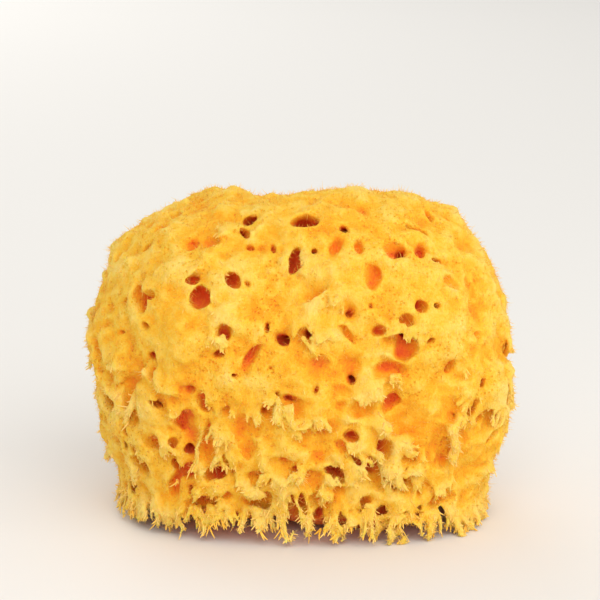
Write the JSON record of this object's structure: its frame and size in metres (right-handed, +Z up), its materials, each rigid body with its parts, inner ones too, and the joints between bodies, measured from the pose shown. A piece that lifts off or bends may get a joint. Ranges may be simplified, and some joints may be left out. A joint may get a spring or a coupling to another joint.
{
  "type": "sea sponge",
  "caption": "Natural sea sponge for bathing: a soft rounded body pierced by round openings, with a ragged fibre fringe, resting on its flat cut base.",
  "frame": {"origin": "middle of the underside of the sponge's bounding box, on the plane of its cut base", "axes": "+Z up from the cut base, +X along the long side, the shown front faces -Y"},
  "size_m": [0.092, 0.06, 0.075],
  "materials": {
    "sponge_fibre": "matt, soft and fibrous, golden yellow, deepening to orange in its openings"
  },
  "bodies": {
    "root": {"sponge": "sponge_fibre"}
  },
  "joints": []
}
